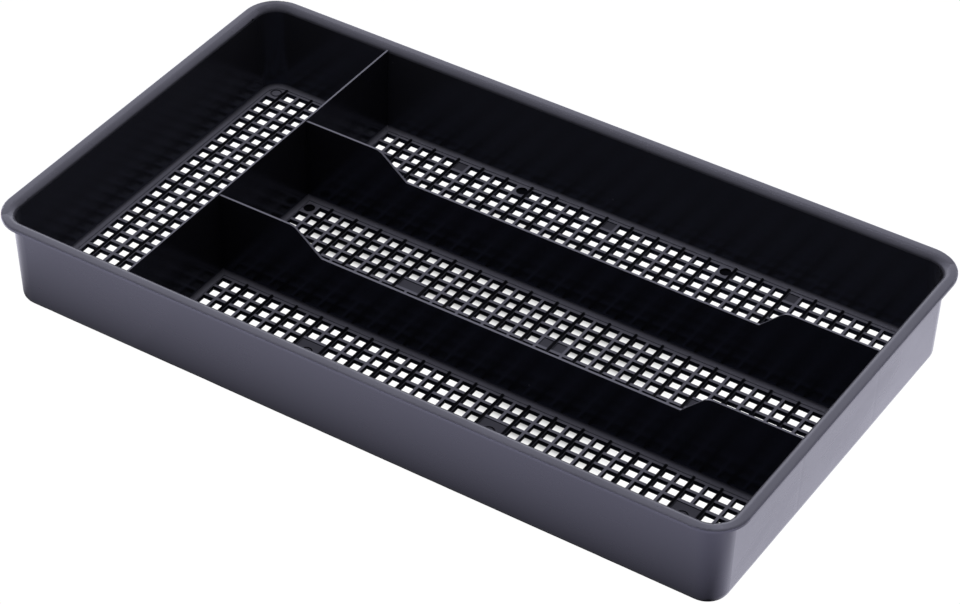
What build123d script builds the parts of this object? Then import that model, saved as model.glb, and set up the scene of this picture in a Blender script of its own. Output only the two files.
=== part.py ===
from build123d import *
import os

os.makedirs("parts", exist_ok=True)

# Drawer organizer insert: an open moulded tray with an outward rim, one
# crosswise and three lengthwise compartments, and an open mesh floor.
# Millimetres. Origin at the centre of the footprint on the surface the tray
# rests on. +X runs along the long side, +Y to the back, +Z up.

# ---------------------------------------------------------------- dimensions
# rim and walls
rim_length = 343.0          # outside of the rim, along X
rim_width = 194.0           # outside of the rim, along Y
tray_height = 43.6
rim_thickness = 1.6
rim_corner = 15.8           # plan radius of the rim's outer corners
rim_inner_round = 2.7       # roll from the rim's top into the inner wall
rim_outer_round = 0.8       # soft outer edge of the rim
wall_top_x = 166.7          # half length, outer wall under the rim
wall_top_y = 92.3           # half width, outer wall under the rim
wall_foot_x = 165.2         # half length, outer wall at the bottom
wall_foot_y = 90.8          # half width, outer wall at the bottom
wall_corner_top = 10.6
wall_corner_foot = 9.5
bottom_round = 4.0          # rounded outer bottom edge
cavity_foot_x = 164.2       # half length inside, at the foot of the walls
cavity_foot_y = 89.6
cavity_top_x = 165.6        # half length inside, at the rim's top
cavity_top_y = 91.25
cavity_corner_foot = 8.0
cavity_corner_top = 9.3

# floor frame that carries the mesh
frame_z = 2.4               # top of the frame, where the foot rounds end
foot_round = 1.8            # concave round at the foot of walls and dividers
ridge_z = 4.3               # top of the foot rounds and of the divider ridges
window_inset = 1.9          # wall face to the edge of the mesh

# dividers
cross_x = -103.6            # centre plane of the cross divider
long_y = 30.5               # centre planes of the long dividers, plus and minus
divider_base = 1.4          # thickness on the ridge
cross_top = 0.8             # thickness of the cross divider's top edge
long_top = 0.9              # thickness of the long dividers' top edges
cross_z = 42.2              # top edge of the cross divider
long_z = 41.5               # top edge of the long dividers at both ends
dip_z = 30.5                # top edge along the lowered middle
ramp_left_top = -66.4
ramp_left_foot = -53.0
ramp_right_foot = 113.6
ramp_right_top = 124.8
ramp_top_round = 6.0
ramp_foot_round = 1.5

# mesh
mesh_bottom_z = 0.0         # the mesh is flush with the underside
mesh_top_z = 2.1
fin_top_z = 3.1             # lengthwise fins stand on every second bar
left_fin_top_z = 2.9        # the left compartment's fins are a little lower
fin_thickness = 0.9
long_columns = 42
long_rows = 8
long_first_x = -98.29       # centre of the first column of openings
long_pitch_x = 6.226
long_pitch_y = 6.586
long_open_x = 5.0
long_open_y = 5.2
left_columns = 8
left_rows = 26
left_first_x = -158.5
left_pitch_x = 6.696
left_pitch_y = 6.696
left_open_x = 5.35
left_open_y = 5.25
front_first_y = -36.98      # back row of each compartment
middle_first_y = 23.88
rear_first_y = 83.8
left_first_y = 83.9
pad_depth = 0.5             # solid cells sit a little below the bars
pad_mark_r = 2.65           # shallow round grooves left on the solid cells
pad_mark_width = 0.7
pad_mark_depth = 0.5
dark_mark_r = 2.5
dark_mark_depth = 1.1

# ------------------------------------------------------- derived quantities
half_base = divider_base / 2
half_cross_top = cross_top / 2
half_long_top = long_top / 2
rim_z = tray_height - rim_thickness
rise = (cavity_top_x - cavity_foot_x) / (tray_height - ridge_z)
rise_y = (cavity_top_y - cavity_foot_y) / (tray_height - ridge_z)

# plan outlines at the top of the fillets: low x, high x, low y, high y, and
# which corners follow the tray's own rounded corners
left_box = (-cavity_foot_x, cross_x - half_base, -cavity_foot_y, cavity_foot_y)
front_box = (cross_x + half_base, cavity_foot_x, -cavity_foot_y, -long_y - half_base)
middle_box = (cross_x + half_base, cavity_foot_x, -long_y + half_base, long_y - half_base)
rear_box = (cross_x + half_base, cavity_foot_x, long_y + half_base, cavity_foot_y)
compartments = {
    "left": (left_box, [(-1, -1), (-1, 1)]),
    "front": (front_box, [(1, -1)]),
    "middle": (middle_box, []),
    "rear": (rear_box, [(1, 1)]),
}


def outline(box, rounded, inset, radius):
    """Compartment outline moved inwards, with its tray corners rounded.

    The points run anticlockwise; a rounded corner is an arc."""
    x0, x1, y0, y1 = box[0] + inset, box[1] - inset, box[2] + inset, box[3] - inset
    corners = [(x0, y0, -1, -1), (x1, y0, 1, -1), (x1, y1, 1, 1), (x0, y1, -1, 1)]
    k = 0.70710678
    path = []
    for x, y, sx, sy in corners:
        if (sx, sy) in rounded:
            cx, cy = x - sx * radius, y - sy * radius
            on_y = (cx, y)
            on_x = (x, cy)
            mid = (cx + sx * radius * k, cy + sy * radius * k)
            order = (on_x, mid, on_y) if sx * sy > 0 else (on_y, mid, on_x)
            path.append(order)
        else:
            path.append(((x, y),))
    return path


def grid(first_x, first_y, pitch_x, pitch_y, columns, rows, solid):
    """Centres of the openings, leaving out the solid cells (column, row)."""
    return [
        (first_x + c * pitch_x, first_y - r * pitch_y)
        for c in range(columns)
        for r in range(rows)
        if (c, r) not in solid
    ]


def pad_centres(first_x, first_y, pitch_x, pitch_y, cells):
    """Centres of solid cells given as (column, row)."""
    return [(first_x + c * pitch_x, first_y - r * pitch_y) for c, r in cells]


def bar_planes(first_x, pitch_x, columns, odd, thickness):
    """Planes at the left faces of the lengthwise bars with even or odd number."""
    return [
        Plane.YZ.offset(first_x + (c + 0.5) * pitch_x - thickness / 2)
        for c in range(columns - 1)
        if c % 2 == odd
    ]


def fin_outline(box, top):
    """Side profile of a fin that spans the mesh from edge to edge."""
    low, high = box[2] + window_inset + 0.05, box[3] - window_inset - 0.05
    return [(low, mesh_top_z / 2), (high, mesh_top_z / 2), (high, top), (low, top)]


def draw(path):
    """Closes one outline inside the active sketch's line builder."""
    last = path[-1][-1]
    for item in path:
        if last != item[0]:
            Line(last, item[0])
        if len(item) == 3:
            ThreePointArc(*item)
        last = item[-1]


# ----------------------------------------------------------------- the shell
with BuildPart() as tray_shell:
    # outer wall, leaning outwards a little towards the rim
    with BuildSketch(Plane.XY):
        RectangleRounded(2 * wall_foot_x, 2 * wall_foot_y, wall_corner_foot)
    with BuildSketch(Plane.XY.offset(rim_z)):
        RectangleRounded(2 * wall_top_x, 2 * wall_top_y, wall_corner_top)
    loft()
    fillet(tray_shell.faces().sort_by(Axis.Z)[0].outer_wire().edges(), bottom_round)
    # rim
    with BuildSketch(Plane.XY.offset(rim_z)):
        RectangleRounded(rim_length, rim_width, rim_corner)
    extrude(amount=rim_thickness)
    fillet(tray_shell.faces().sort_by(Axis.Z)[-1].outer_wire().edges(), rim_outer_round)
    # the open space above the dividers' ridges
    with BuildSketch(Plane.XY.offset(ridge_z)):
        RectangleRounded(2 * cavity_foot_x, 2 * cavity_foot_y, cavity_corner_foot)
    with BuildSketch(Plane.XY.offset(tray_height)):
        RectangleRounded(2 * cavity_top_x, 2 * cavity_top_y, cavity_corner_top)
    loft(mode=Mode.SUBTRACT)
    fillet(tray_shell.faces().sort_by(Axis.Z)[-1].inner_wires()[0].edges(), rim_inner_round)
    # the four pans
    for box, rounded in compartments.values():
        with BuildSketch(Plane.XY.offset(frame_z)):
            with BuildLine():
                draw(outline(box, rounded, 0.0, cavity_corner_foot))
            make_face()
        extrude(amount=ridge_z - frame_z, mode=Mode.SUBTRACT)
    # concave rounds at the foot of every wall and divider
    fillet(tray_shell.edges().filter_by_position(Axis.Z, frame_z - 0.01, frame_z + 0.01), foot_round)
    # the windows the mesh sits in
    for box, rounded in compartments.values():
        with BuildSketch(Plane.XY.offset(-1.0)):
            with BuildLine():
                draw(outline(box, rounded, window_inset, cavity_corner_foot - window_inset))
            make_face()
        extrude(amount=1.0 + frame_z, mode=Mode.SUBTRACT)
tray_shell.part.label = "tray_shell"

# -------------------------------------------------------------- the dividers
cross_rise = cross_z - ridge_z
long_rise = long_z - ridge_z
with BuildPart() as cross_divider:
    # seen along X: ends lean with the front and back walls
    with BuildSketch(Plane.YZ.offset(cross_x - half_base)):
        Polygon(
            (-cavity_foot_y, ridge_z),
            (cavity_foot_y, ridge_z),
            (cavity_foot_y + rise_y * cross_rise, cross_z),
            (-cavity_foot_y - rise_y * cross_rise, cross_z),
            align=None,
        )
    extrude(amount=divider_base)
    # thinner towards the top edge
    with BuildSketch(Plane.XZ.offset(-rim_width / 2)):
        Polygon(
            (cross_x - half_base, ridge_z),
            (cross_x + half_base, ridge_z),
            (cross_x + half_cross_top, cross_z),
            (cross_x - half_cross_top, cross_z),
            align=None,
        )
    extrude(amount=rim_width, mode=Mode.INTERSECT)
cross_divider.part.label = "cross_divider"

long_left_foot = cross_x + half_base
# the cross divider's face at the height of the long dividers' top edges
long_left_top = cross_x + half_base - (half_base - half_cross_top) * long_rise / cross_rise
long_right_foot = cavity_foot_x
long_right_top = cavity_foot_x + rise * long_rise
long_profile = [
    (long_left_foot, ridge_z),
    (long_right_foot, ridge_z),
    (long_right_top, long_z),
    (ramp_right_top, long_z),
    (ramp_right_foot, dip_z),
    (ramp_left_foot, dip_z),
    (ramp_left_top, long_z),
    (long_left_top, long_z),
]

with BuildPart() as front_long_divider:
    # seen along Y: full height at both ends, lowered in the middle
    with BuildSketch(Plane.XZ.offset(-(-long_y) - half_base)):
        Polygon(*long_profile, align=None)
    extrude(amount=divider_base)
    across = front_long_divider.edges().filter_by(Axis.Y)
    fillet(
        across.filter_by_position(Axis.Z, long_z - 0.01, long_z + 0.01)
        .filter_by_position(Axis.X, ramp_left_top - 0.1, ramp_right_top + 0.1),
        ramp_top_round,
    )
    fillet(
        front_long_divider.edges().filter_by(Axis.Y)
        .filter_by_position(Axis.Z, dip_z - 0.01, dip_z + 0.01),
        ramp_foot_round,
    )
    # thinner towards the top edge
    with BuildSketch(Plane.YZ.offset(-rim_length / 2)):
        Polygon(
            (-long_y - half_base, ridge_z),
            (-long_y + half_base, ridge_z),
            (-long_y + half_long_top, long_z),
            (-long_y - half_long_top, long_z),
            align=None,
        )
    extrude(amount=rim_length, mode=Mode.INTERSECT)
front_long_divider.part.label = "front_long_divider"

with BuildPart() as rear_long_divider:
    # seen along Y: full height at both ends, lowered in the middle
    with BuildSketch(Plane.XZ.offset(-(long_y) - half_base)):
        Polygon(*long_profile, align=None)
    extrude(amount=divider_base)
    across = rear_long_divider.edges().filter_by(Axis.Y)
    fillet(
        across.filter_by_position(Axis.Z, long_z - 0.01, long_z + 0.01)
        .filter_by_position(Axis.X, ramp_left_top - 0.1, ramp_right_top + 0.1),
        ramp_top_round,
    )
    fillet(
        rear_long_divider.edges().filter_by(Axis.Y)
        .filter_by_position(Axis.Z, dip_z - 0.01, dip_z + 0.01),
        ramp_foot_round,
    )
    # thinner towards the top edge
    with BuildSketch(Plane.YZ.offset(-rim_length / 2)):
        Polygon(
            (long_y - half_base, ridge_z),
            (long_y + half_base, ridge_z),
            (long_y + half_long_top, long_z),
            (long_y - half_long_top, long_z),
            align=None,
        )
    extrude(amount=rim_length, mode=Mode.INTERSECT)
rear_long_divider.part.label = "rear_long_divider"

# ------------------------------------------------------------ the mesh floors
# Each is a thin plate with rows of openings, and a thin fin on every second
# lengthwise bar.

# left compartment: solid cells with a round mark in its two rounded corners
with BuildPart() as left_mesh_floor:
    box, rounded = compartments["left"]
    solid = {(0, 0), (0, left_rows - 1)}
    with BuildSketch(Plane.XY.offset(mesh_bottom_z)):
        with BuildLine():
            draw(outline(box, rounded, window_inset, cavity_corner_foot - window_inset))
        make_face()
        with Locations(*grid(left_first_x, left_first_y, left_pitch_x, left_pitch_y, left_columns, left_rows, solid)):
            Rectangle(left_open_x, left_open_y, mode=Mode.SUBTRACT)
    extrude(amount=mesh_top_z - mesh_bottom_z)
    with BuildSketch(*bar_planes(left_first_x, left_pitch_x, left_columns, 0, fin_thickness)):
        Polygon(*fin_outline(box, left_fin_top_z), align=None)
    extrude(amount=fin_thickness)
    with BuildSketch(Plane.XY.offset(mesh_top_z - pad_mark_depth)):
        with Locations(*pad_centres(left_first_x, left_first_y, left_pitch_x, left_pitch_y, sorted(solid))):
            Circle(pad_mark_r)
            Circle(pad_mark_r - pad_mark_width, mode=Mode.SUBTRACT)
    extrude(amount=pad_mark_depth + 0.6, mode=Mode.SUBTRACT)
left_mesh_floor.part.label = "left_mesh_floor"

# front compartment: three pads of four solid cells, each with a round mark
with BuildPart() as front_mesh_floor:
    box, rounded = compartments["front"]
    solid = {(c0 + c, r) for c0 in (8, 22, 36) for c in (0, 1) for r in (2, 3)} | {(41, 7)}
    with BuildSketch(Plane.XY.offset(mesh_bottom_z)):
        with BuildLine():
            draw(outline(box, rounded, window_inset, cavity_corner_foot - window_inset))
        make_face()
        with Locations(*grid(long_first_x, front_first_y, long_pitch_x, long_pitch_y, long_columns, long_rows, solid)):
            Rectangle(long_open_x, long_open_y, mode=Mode.SUBTRACT)
    extrude(amount=mesh_top_z - mesh_bottom_z)
    with BuildSketch(*bar_planes(long_first_x, long_pitch_x, long_columns, 1, fin_thickness)):
        Polygon(*fin_outline(box, fin_top_z), align=None)
    extrude(amount=fin_thickness)
    pads = pad_centres(long_first_x, front_first_y, long_pitch_x, long_pitch_y, [(c + 0.5, 2.5) for c in (8, 22, 36)])
    with BuildSketch(Plane.XY.offset(mesh_top_z - pad_depth)):
        with Locations(*pads):
            Rectangle(long_pitch_x + long_open_x, long_pitch_y + long_open_y)
    extrude(amount=pad_depth + 0.6, mode=Mode.SUBTRACT)
    with BuildSketch(Plane.XY.offset(mesh_top_z - pad_depth - pad_mark_depth)):
        with Locations(*pads):
            Circle(pad_mark_r)
            Circle(pad_mark_r - pad_mark_width, mode=Mode.SUBTRACT)
    extrude(amount=pad_mark_depth + 0.6, mode=Mode.SUBTRACT)
front_mesh_floor.part.label = "front_mesh_floor"

# middle compartment: pads in the fourth row, a deep round mark in one corner
with BuildPart() as middle_mesh_floor:
    box, rounded = compartments["middle"]
    solid = {(0, 0), (10, 3), (11, 3), (21, 3), (22, 3), (32, 3)}
    with BuildSketch(Plane.XY.offset(mesh_bottom_z)):
        with BuildLine():
            draw(outline(box, rounded, window_inset, cavity_corner_foot - window_inset))
        make_face()
        with Locations(*grid(long_first_x, middle_first_y, long_pitch_x, long_pitch_y, long_columns, long_rows, solid)):
            Rectangle(long_open_x, long_open_y, mode=Mode.SUBTRACT)
    extrude(amount=mesh_top_z - mesh_bottom_z)
    with BuildSketch(*bar_planes(long_first_x, long_pitch_x, long_columns, 1, fin_thickness)):
        Polygon(*fin_outline(box, fin_top_z), align=None)
    extrude(amount=fin_thickness)
    with BuildSketch(Plane.XY.offset(mesh_top_z - pad_depth)):
        with Locations(*pad_centres(long_first_x, middle_first_y, long_pitch_x, long_pitch_y, [(10.5, 3)])):
            Rectangle(long_pitch_x + long_open_x, long_open_y)
        with Locations(*pad_centres(long_first_x, middle_first_y, long_pitch_x, long_pitch_y, [(21, 3), (22, 3), (32, 3)])):
            Rectangle(long_open_x, long_open_y)
    extrude(amount=pad_depth, mode=Mode.SUBTRACT)
    with BuildSketch(Plane.XY.offset(mesh_top_z - dark_mark_depth)):
        with Locations((long_first_x, middle_first_y)):
            Circle(dark_mark_r)
    extrude(amount=dark_mark_depth + 0.6, mode=Mode.SUBTRACT)
middle_mesh_floor.part.label = "middle_mesh_floor"

# rear compartment: single solid cells along the back row, two with a deep round mark
with BuildPart() as rear_mesh_floor:
    box, rounded = compartments["rear"]
    solid = {(6, 0), (11, 0), (18, 0), (27, 0), (32, 0), (41, 0)}
    with BuildSketch(Plane.XY.offset(mesh_bottom_z)):
        with BuildLine():
            draw(outline(box, rounded, window_inset, cavity_corner_foot - window_inset))
        make_face()
        with Locations(*grid(long_first_x, rear_first_y, long_pitch_x, long_pitch_y, long_columns, long_rows, solid)):
            Rectangle(long_open_x, long_open_y, mode=Mode.SUBTRACT)
    extrude(amount=mesh_top_z - mesh_bottom_z)
    with BuildSketch(*bar_planes(long_first_x, long_pitch_x, long_columns, 1, fin_thickness)):
        Polygon(*fin_outline(box, fin_top_z), align=None)
    extrude(amount=fin_thickness)
    with BuildSketch(Plane.XY.offset(mesh_top_z - pad_depth)):
        with Locations(*pad_centres(long_first_x, rear_first_y, long_pitch_x, long_pitch_y, [(6, 0), (18, 0), (32, 0)])):
            Rectangle(long_open_x, long_open_y)
    extrude(amount=pad_depth, mode=Mode.SUBTRACT)
    with BuildSketch(Plane.XY.offset(mesh_top_z - dark_mark_depth)):
        with Locations(*[(long_first_x + c * long_pitch_x, rear_first_y) for c in (11, 27)]):
            Circle(dark_mark_r)
    extrude(amount=dark_mark_depth + 0.6, mode=Mode.SUBTRACT)
rear_mesh_floor.part.label = "rear_mesh_floor"

# -------------------------------------------------------------------- export
export_step(tray_shell.part, "parts/tray_shell.step")
export_step(cross_divider.part, "parts/cross_divider.step")
export_step(front_long_divider.part, "parts/front_long_divider.step")
export_step(rear_long_divider.part, "parts/rear_long_divider.step")
export_step(left_mesh_floor.part, "parts/left_mesh_floor.step")
export_step(front_mesh_floor.part, "parts/front_mesh_floor.step")
export_step(middle_mesh_floor.part, "parts/middle_mesh_floor.step")
export_step(rear_mesh_floor.part, "parts/rear_mesh_floor.step")
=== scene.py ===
import math

import bpy
from mathutils import Matrix, Vector

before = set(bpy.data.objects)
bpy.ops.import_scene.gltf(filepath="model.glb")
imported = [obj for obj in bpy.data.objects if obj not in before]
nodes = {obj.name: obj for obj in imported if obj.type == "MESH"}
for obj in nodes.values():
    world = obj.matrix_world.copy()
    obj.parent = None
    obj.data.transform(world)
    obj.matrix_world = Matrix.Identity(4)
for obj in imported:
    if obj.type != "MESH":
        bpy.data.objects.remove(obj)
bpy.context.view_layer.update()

SHELL = "tray_shell"
DIVIDERS = ("cross_divider", "front_long_divider", "rear_long_divider")
MESHES = ("left_mesh_floor", "front_mesh_floor", "middle_mesh_floor", "rear_mesh_floor")


# ------------------------------------------------------------------ materials
def new_node(tree, kind, **values):
    node = tree.nodes.new(kind)
    for key, value in values.items():
        if hasattr(node, key):
            setattr(node, key, value)
    return node


def math_node(tree, operation, a, b=None, c=None, clamp=False):
    node = tree.nodes.new("ShaderNodeMath")
    node.operation = operation
    node.use_clamp = clamp
    for index, value in enumerate((a, b, c)):
        if value is None:
            continue
        if isinstance(value, (int, float)):
            node.inputs[index].default_value = value
        else:
            tree.links.new(value, node.inputs[index])
    return node.outputs[0]


def line_mask(tree, coordinate, position, half_width):
    """1 on a thin band around one coordinate value, 0 elsewhere, with soft sides."""
    distance = math_node(tree, "ABSOLUTE", math_node(tree, "SUBTRACT", coordinate, position))
    return math_node(tree, "SUBTRACT", 1.0, math_node(tree, "DIVIDE", distance, half_width), clamp=True)


def black_plastic(name, base=(0.0030, 0.0030, 0.0042), rough=0.26, grain=0.10, witness=False,
                  dust=0.25, polish=0.07, tint=(0.76, 0.75, 1.0), painted_top_light_colour=(0.086, 0.085, 0.107), fins=False, crown=0.0):
    """Satin black moulded plastic: fine grain, faint flow marks, dust specks and rub marks, with painted top light
    on upward faces and a painted cool reflection on the inside walls.
    """
    material = bpy.data.materials.new(name)
    material.use_nodes = True
    tree = material.node_tree
    tree.nodes.clear()
    links = tree.links
    out = new_node(tree, "ShaderNodeOutputMaterial")
    shader = new_node(tree, "ShaderNodeBsdfPrincipled")
    links.new(shader.outputs["BSDF"], out.inputs["Surface"])
    coords = new_node(tree, "ShaderNodeTexCoord").outputs["Object"]
    split = new_node(tree, "ShaderNodeSeparateXYZ")
    links.new(coords, split.inputs[0])

    def noise(scale, detail=2.0, roughness=0.5, stretch=None):
        node = new_node(tree, "ShaderNodeTexNoise")
        node.inputs["Scale"].default_value = scale
        node.inputs["Detail"].default_value = detail
        node.inputs["Roughness"].default_value = roughness
        source = coords
        if stretch:
            mapping = new_node(tree, "ShaderNodeMapping")
            mapping.inputs["Scale"].default_value = stretch
            links.new(coords, mapping.inputs["Vector"])
            source = mapping.outputs[0]
        links.new(source, node.inputs["Vector"])
        return node.outputs["Fac"]

    flow = noise(9.0, 3.0, 0.6)
    cloud = noise(28.0, 4.0, 0.6)
    grain_fine = noise(2600.0, 2.0, 0.6)
    grain_mid = noise(420.0, 3.0, 0.55)
    specks = new_node(tree, "ShaderNodeTexVoronoi")
    specks.inputs["Scale"].default_value = 95.0
    links.new(coords, specks.inputs["Vector"])
    speck_pick = noise(60.0, 1.0)

    # colour: dark blue grey, slightly uneven, with sparse dust specks
    colour = new_node(tree, "ShaderNodeMixRGB")
    colour.inputs["Color1"].default_value = (base[0] * 0.75, base[1] * 0.75, base[2] * 0.75, 1)
    colour.inputs["Color2"].default_value = (base[0] * 1.35, base[1] * 1.33, base[2] * 1.30, 1)
    links.new(math_node(tree, "ADD", math_node(tree, "MULTIPLY", flow, 0.6),
                        math_node(tree, "MULTIPLY", cloud, 0.4)), colour.inputs["Fac"])
    # painted top light: upward faces are painted lighter, as light from above falls on them, while walls stay dark
    facing = new_node(tree, "ShaderNodeSeparateXYZ")
    links.new(new_node(tree, "ShaderNodeNewGeometry").outputs["Normal"], facing.inputs[0])
    painted_top_light_amount = math_node(tree, "POWER", math_node(tree, "MAXIMUM", facing.outputs[2], 0.0), 0.5)
    # raised fins get no painted top light; sunken pads and grooves get less of it, as painted shade in the recesses
    raised = math_node(tree, "MULTIPLY", math_node(tree, "GREATER_THAN", split.outputs[2], 0.00218),
                       1.0 if fins else 0.0)
    sunken = math_node(tree, "MULTIPLY", math_node(tree, "LESS_THAN", split.outputs[2], 0.00195),
                       0.60 if fins else 0.0)
    groove = math_node(tree, "MULTIPLY", math_node(tree, "LESS_THAN", split.outputs[2], 0.00125),
                       0.40 if fins else 0.0)
    painted_top_light_amount = math_node(tree, "MULTIPLY", painted_top_light_amount, math_node(
        tree, "SUBTRACT", 1.0, math_node(tree, "ADD", raised, math_node(tree, "ADD", sunken, groove)), clamp=True))
    painted_top_light_mix = new_node(tree, "ShaderNodeMixRGB")
    painted_top_light_mix.inputs["Color2"].default_value = (*painted_top_light_colour, 1)
    links.new(math_node(tree, "MULTIPLY", painted_top_light_amount, math_node(tree, "ADD", 0.75, math_node(
        tree, "MULTIPLY", cloud, 0.5)), clamp=True), painted_top_light_mix.inputs["Fac"])
    links.new(colour.outputs[0], painted_top_light_mix.inputs["Color1"])
    near = math_node(tree, "LESS_THAN", specks.outputs["Distance"], 0.045)
    chosen = math_node(tree, "GREATER_THAN", speck_pick, 0.60)
    speck = math_node(tree, "MULTIPLY", math_node(tree, "MULTIPLY", near, chosen), dust, clamp=True)
    dusted = new_node(tree, "ShaderNodeMixRGB")
    dusted.inputs["Color2"].default_value = (0.11, 0.11, 0.12, 1)
    links.new(speck, dusted.inputs["Fac"])
    links.new(painted_top_light_mix.outputs[0], dusted.inputs["Color1"])
    links.new(dusted.outputs[0], shader.inputs["Base Color"])

    # painted reflection: the inside walls' specular tint is painted cool blue, so that they seem to catch only cool
    # light
    within = math_node(tree, "MULTIPLY",
                       math_node(tree, "LESS_THAN", math_node(tree, "ABSOLUTE", split.outputs[0]), math_node(
                           tree, "MULTIPLY_ADD", split.outputs[2], 0.0345, 0.16462)),
                       math_node(tree, "LESS_THAN", math_node(tree, "ABSOLUTE", split.outputs[1]), math_node(
                           tree, "MULTIPLY_ADD", split.outputs[2], 0.0385, 0.0901)))
    # but not the outside of the rounded corners, which faces outwards
    outwards = math_node(tree, "ADD", math_node(tree, "MULTIPLY", split.outputs[0], facing.outputs[0]),
                         math_node(tree, "MULTIPLY", split.outputs[1], facing.outputs[1]))
    corner = math_node(tree, "MULTIPLY",
                       math_node(tree, "GREATER_THAN", math_node(tree, "ABSOLUTE", split.outputs[0]), 0.1540),
                       math_node(tree, "GREATER_THAN", math_node(tree, "ABSOLUTE", split.outputs[1]), 0.0800))
    corner = math_node(tree, "MULTIPLY", corner, math_node(tree, "GREATER_THAN", outwards, 0.0))
    within = math_node(tree, "MULTIPLY", within, math_node(tree, "SUBTRACT", 1.0, corner))
    # painted cool reflection on the near-vertical inside faces
    painted_cool_reflection = new_node(tree, "ShaderNodeMixRGB")
    painted_cool_reflection.inputs["Color1"].default_value = (*tint, 1)
    painted_cool_reflection.inputs["Color2"].default_value = (0.40, 0.50, 0.88, 1)
    links.new(math_node(tree, "MULTIPLY", within, math_node(
        tree, "LESS_THAN", math_node(tree, "ABSOLUTE", facing.outputs[2]), 0.3)), painted_cool_reflection.inputs["Fac"])
    links.new(painted_cool_reflection.outputs[0], shader.inputs["Specular Tint"])

    # roughness: satin with rubbed, slightly shinier patches
    rubbed = noise(14.0, 5.0, 0.65, (1.0, 1.0, 2.5))
    rough_mix = new_node(tree, "ShaderNodeMapRange")
    rough_mix.inputs["From Min"].default_value = 0.3
    rough_mix.inputs["From Max"].default_value = 0.7
    rough_mix.inputs["To Min"].default_value = rough - 0.045
    rough_mix.inputs["To Max"].default_value = rough + 0.045
    links.new(rubbed, rough_mix.inputs["Value"])
    links.new(math_node(tree, "SUBTRACT", rough_mix.outputs[0], math_node(tree, "MULTIPLY", within, polish)),
              shader.inputs["Roughness"])
    shader.inputs["IOR"].default_value = 1.5
    links.new(math_node(tree, "SUBTRACT", 0.62, math_node(tree, "MULTIPLY", raised, 0.45)),
              shader.inputs["Specular IOR Level"])

    # surface: moulding grain, broad waviness, and faint witness lines
    height = math_node(tree, "ADD", math_node(tree, "MULTIPLY", grain_fine, 0.4),
                       math_node(tree, "MULTIPLY", grain_mid, 0.6))
    if witness:
        outside_front = math_node(tree, "LESS_THAN", split.outputs[1], -0.0903)
        outside_end = math_node(tree, "GREATER_THAN", split.outputs[0], 0.1640)
        lines = math_node(tree, "MULTIPLY", line_mask(tree, split.outputs[0], -0.1036, 0.0016), outside_front)
        for y in (-0.0304, 0.0304):
            lines = math_node(tree, "ADD", lines, math_node(
                tree, "MULTIPLY", line_mask(tree, split.outputs[1], y, 0.0018), outside_end))
        height = math_node(tree, "SUBTRACT", height, math_node(tree, "MULTIPLY", lines, 1.6))
    bump = new_node(tree, "ShaderNodeBump")
    bump.inputs["Strength"].default_value = grain
    bump.inputs["Distance"].default_value = 0.00012
    links.new(height, bump.inputs["Height"])
    if crown:
        # the rim's top is slightly domed across its width
        across = math_node(tree, "MAXIMUM",
                           math_node(tree, "SUBTRACT", math_node(tree, "ABSOLUTE", split.outputs[0]), 0.1692),
                           math_node(tree, "SUBTRACT", math_node(tree, "ABSOLUTE", split.outputs[1]), 0.0947))
        across = math_node(tree, "MAXIMUM", across, -0.004)
        dome = math_node(tree, "MULTIPLY", math_node(tree, "MULTIPLY", across, across), -crown)
        dome = math_node(tree, "MULTIPLY", dome, math_node(tree, "GREATER_THAN", split.outputs[2], 0.0430))
        domed = new_node(tree, "ShaderNodeBump")
        domed.inputs["Strength"].default_value = 1.0
        domed.inputs["Distance"].default_value = 1.0
        links.new(dome, domed.inputs["Height"])
        links.new(domed.outputs[0], bump.inputs["Normal"])
    links.new(bump.outputs[0], shader.inputs["Normal"])
    return material


def assign(obj, material):
    obj.data.materials.clear()
    obj.data.materials.append(material)


assign(nodes[SHELL], black_plastic("shell_plastic_look", witness=True, crown=18.0))
for n in DIVIDERS:
    assign(nodes[n], black_plastic("divider_look_" + n))
# mesh floors: a slightly stronger painted top light colour
for n in MESHES:
    assign(nodes[n], black_plastic("mesh_look_" + n, rough=0.36, polish=0.0, fins=True,
                                    painted_top_light_colour=(0.097, 0.096, 0.122)))

# softened edges, as a moulding has
for n, width, segments in ((SHELL, 0.00022, 2),) + tuple((d, 0.00020, 2) for d in DIVIDERS) + tuple((m, 0.00012, 1) for m in MESHES):
    bevel = nodes[n].modifiers.new("soft_edges", "BEVEL")
    bevel.width = width
    bevel.segments = segments
    bevel.limit_method = "ANGLE"
    bevel.angle_limit = math.radians(40)
    bevel.harden_normals = False

# ---------------------------------------------------------------------- stage
bpy.ops.mesh.primitive_plane_add(size=12.0, location=(0, 0, -0.0002))
floor = bpy.context.object
floor.name = "floor"


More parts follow.
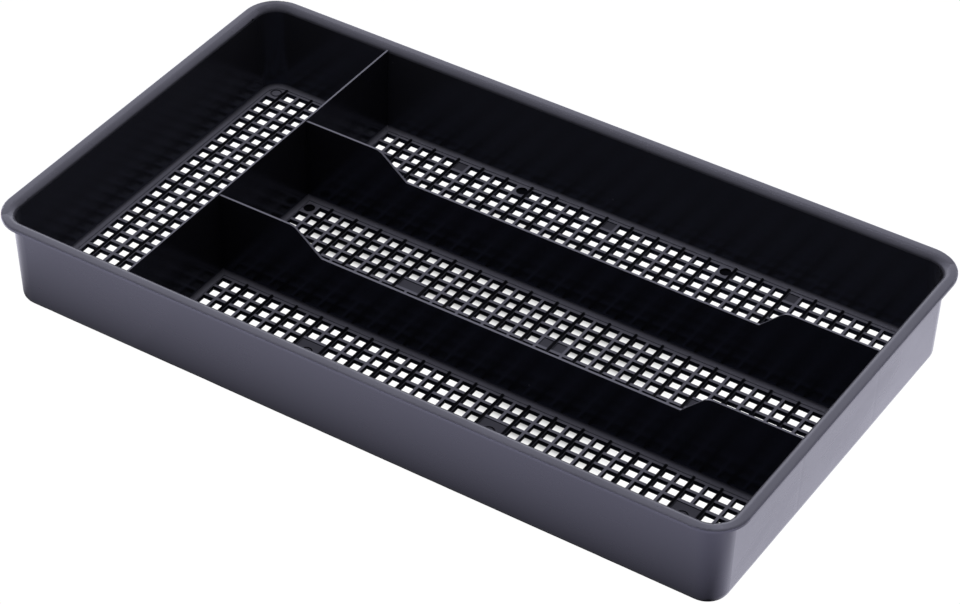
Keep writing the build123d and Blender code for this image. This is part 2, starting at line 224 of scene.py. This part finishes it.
def floor_material():
    """Pale floor that glows, with painted light. It looks plain white; the glow it throws
    back onto the tray is painted, weak under the tray and growing with the distance from it."""
    material = bpy.data.materials.new("pale_floor")
    material.use_nodes = True
    tree = material.node_tree
    tree.nodes.clear()
    links = tree.links
    out = tree.nodes.new("ShaderNodeOutputMaterial")
    seen = tree.nodes.new("ShaderNodeEmission")
    painted_floor_glow = tree.nodes.new("ShaderNodeEmission")
    mix = tree.nodes.new("ShaderNodeMixShader")
    path = tree.nodes.new("ShaderNodeLightPath")
    links.new(path.outputs["Is Camera Ray"], mix.inputs["Fac"])
    links.new(painted_floor_glow.outputs[0], mix.inputs[1])
    links.new(seen.outputs[0], mix.inputs[2])
    # clear from below, so that the underside can be looked at
    clear = tree.nodes.new("ShaderNodeBsdfTransparent")
    sides = tree.nodes.new("ShaderNodeMixShader")
    links.new(math_node(tree, "MULTIPLY", tree.nodes.new("ShaderNodeNewGeometry").outputs["Backfacing"],
                        path.outputs["Is Camera Ray"]), sides.inputs["Fac"])
    links.new(mix.outputs[0], sides.inputs[1])
    links.new(clear.outputs[0], sides.inputs[2])
    links.new(sides.outputs[0], out.inputs["Surface"])
    place = tree.nodes.new("ShaderNodeTexCoord").outputs["Object"]
    split = tree.nodes.new("ShaderNodeSeparateXYZ")
    links.new(place, split.inputs[0])
    x, y = split.outputs[0], split.outputs[1]

    # soft shades below the mesh, the only ones that show: each cell is darker
    # at its back edge
    def band(coordinate, low, high, soft):
        up = math_node(tree, "DIVIDE", math_node(tree, "SUBTRACT", coordinate, low), soft, clamp=True)
        down = math_node(tree, "DIVIDE", math_node(tree, "SUBTRACT", high, coordinate), soft, clamp=True)
        return math_node(tree, "MULTIPLY", up, down)

    shade = None
    for x0, x1, y0, y1, first, depth in SHADES:
        turn = math_node(tree, "DIVIDE", math_node(tree, "SUBTRACT", y, first - 0.003293), 0.006586)
        part = math_node(tree, "SUBTRACT", turn, math_node(tree, "FLOOR", turn))
        part = math_node(tree, "MULTIPLY", math_node(tree, "SUBTRACT", part, 0.44), 2.1, clamp=True)
        area = math_node(tree, "MULTIPLY", band(x, x0, x1, 0.030), band(y, y0, y1, 0.010))
        one = math_node(tree, "MULTIPLY", math_node(tree, "MULTIPLY", area, depth), math_node(
            tree, "ADD", 0.15, math_node(tree, "MULTIPLY", math_node(tree, "POWER", part, 1.5), 1.25)))
        shade = one if shade is None else math_node(tree, "ADD", shade, one)
    seen.inputs["Color"].default_value = (1, 1, 1, 1)
    links.new(math_node(tree, "SUBTRACT", 1.02, shade), seen.inputs["Strength"])

    # distance outside the tray's foot
    out_x = math_node(tree, "SUBTRACT", math_node(tree, "ABSOLUTE", x), 0.164)
    out_y = math_node(tree, "SUBTRACT", math_node(tree, "ABSOLUTE", y), 0.090)
    out_x = math_node(tree, "MAXIMUM", out_x, 0.0)
    out_y = math_node(tree, "MAXIMUM", out_y, 0.0)
    away = math_node(tree, "SQRT", math_node(tree, "ADD", math_node(tree, "MULTIPLY", out_x, out_x),
                                             math_node(tree, "MULTIPLY", out_y, out_y)))
    # painted shadow: the glow fades out towards the tray's foot
    near = math_node(tree, "DIVIDE", away, FLOOR_FADE, clamp=True)
    near = math_node(tree, "POWER", near, 0.6)
    # painted pool of light: beside the right end the floor glows bright right up to the tray, falling off further
    # out
    side = math_node(tree, "MULTIPLY",
                     math_node(tree, "DIVIDE", math_node(tree, "SUBTRACT", x, 0.162), 0.004, clamp=True),
                     math_node(tree, "DIVIDE", math_node(tree, "SUBTRACT", y, -0.094), 0.014, clamp=True))
    # painted shade under the tray: the glow is weak there, a little lighter below the rear and left compartments
    rear = math_node(tree, "DIVIDE", math_node(tree, "SUBTRACT", y, 0.028), 0.004, clamp=True)
    left = math_node(tree, "DIVIDE", math_node(tree, "SUBTRACT", -0.103, x), 0.004, clamp=True)
    under = math_node(tree, "ADD", FLOOR_UNDER, math_node(
        tree, "MULTIPLY", math_node(tree, "MAXIMUM", rear, left), FLOOR_UNDER_REAR - FLOOR_UNDER))
    painted_glow_fading_to_foot = math_node(tree, "MULTIPLY", near, math_node(
        tree, "MULTIPLY", math_node(tree, "SUBTRACT", 1.0, side), FLOOR_FRONT))
    fall = math_node(tree, "SUBTRACT", 1.0, math_node(tree, "MULTIPLY", math_node(
        tree, "DIVIDE", away, 0.10, clamp=True), 0.38))
    painted_right_side_light = math_node(tree, "MULTIPLY", math_node(tree, "MULTIPLY", side, FLOOR_SIDE), fall)
    strength = math_node(tree, "ADD", under, math_node(tree, "ADD", painted_glow_fading_to_foot, painted_right_side_light))
    links.new(strength, painted_floor_glow.inputs["Strength"])
    painted_floor_glow.inputs["Color"].default_value = (0.90, 0.89, 1.02, 1)
    return material


# x from, x to, y from, y to, a row's centre, depth of the shade
SHADES = (
    (-0.115, 0.095, -0.030, 0.034, 0.02388, 0.50),
    (0.010, 0.100, -0.075, -0.026, -0.03698, 0.50),
    (-0.080, 0.045, 0.040, 0.072, 0.0838, 0.40),
)
# levels of the floor's painted glow: reach of the painted shadow at the foot, front and right-side glow, painted
# shade under the tray
FLOOR_FADE = 0.060
FLOOR_FRONT = 2.25
FLOOR_SIDE = 1.78
FLOOR_UNDER = 0.04
FLOOR_UNDER_REAR = 0.10
assign(floor, floor_material())

# studio surroundings: a bright low band behind and to the left, darker overhead
world = bpy.data.worlds.new("studio")
bpy.context.scene.world = world
world.use_nodes = True
wt = world.node_tree
background = wt.nodes["Background"]
direction = wt.nodes.new("ShaderNodeTexCoord").outputs["Generated"]
parts = wt.nodes.new("ShaderNodeSeparateXYZ")
wt.links.new(direction, parts.inputs[0])
BACK = Vector((-0.62, 0.78, 0.0)).normalized()
along = math_node(wt, "ADD", math_node(wt, "MULTIPLY", parts.outputs[0], BACK.x),
                  math_node(wt, "MULTIPLY", parts.outputs[1], BACK.y))
# 1 at the low back-left horizon, 0 towards the camera side
behind = math_node(wt, "MULTIPLY", math_node(wt, "ADD", along, 1.0), 0.5)
low = math_node(wt, "SUBTRACT", 1.0, math_node(wt, "DIVIDE", parts.outputs[2], 0.85), clamp=True)
low = math_node(wt, "MINIMUM", low, 0.48)
glow = math_node(wt, "MULTIPLY", math_node(wt, "POWER", behind, 2.0), low)
wt.links.new(math_node(wt, "ADD", 0.12, math_node(wt, "MULTIPLY", glow, 2.6)), background.inputs["Strength"])
background.inputs["Color"].default_value = (0.95, 0.96, 1.0, 1)


def area_light(name, place, target, size, power, colour=(1, 1, 1)):
    data = bpy.data.lights.new(name, "AREA")
    data.shape = "RECTANGLE"
    data.size, data.size_y = size
    data.energy = power
    data.color = colour
    obj = bpy.data.objects.new(name, data)
    bpy.context.scene.collection.objects.link(obj)
    obj.location = place
    obj.visible_glossy = False
    obj.rotation_euler = (Vector(target) - Vector(place)).to_track_quat("-Z", "Y").to_euler()
    return obj


area_light("top_soft", (-0.1, 0.1, 1.7), (0, 0, 0), (1.0, 0.9), 26)

# --------------------------------------------------------------------- camera
AZ, EL, ROLL = math.radians(33.456), math.radians(38.919), math.radians(0.16)
forward = Vector((-math.sin(AZ) * math.cos(EL), math.cos(AZ) * math.cos(EL), -math.sin(EL)))
right0 = forward.cross(Vector((0, 0, 1))).normalized()
up0 = right0.cross(forward)
right = right0 * math.cos(ROLL) + up0 * math.sin(ROLL)
up = up0 * math.cos(ROLL) - right0 * math.sin(ROLL)
camera_data = bpy.data.cameras.new("photo_camera")
camera = bpy.data.objects.new("photo_camera", camera_data)
bpy.context.scene.collection.objects.link(camera)
rotation = Matrix((right, up, -forward)).transposed().to_4x4()
camera.matrix_world = Matrix.Translation((0.5636, -0.8833, 0.8638)) @ rotation
camera_data.sensor_fit = "HORIZONTAL"
camera_data.sensor_width = 36.0
camera_data.lens = 36.0 * 3341.1 / 960.0
camera_data.shift_x = (480.0 - 432.183) / 960.0
camera_data.shift_y = (289.209 - 302.0) / 960.0
camera_data.clip_start = 0.05
camera_data.clip_end = 50.0
bpy.context.scene.camera = camera

scene = bpy.context.scene
scene.view_settings.view_transform = "Standard"
scene.view_settings.look = "None"
scene.view_settings.exposure = 0.0
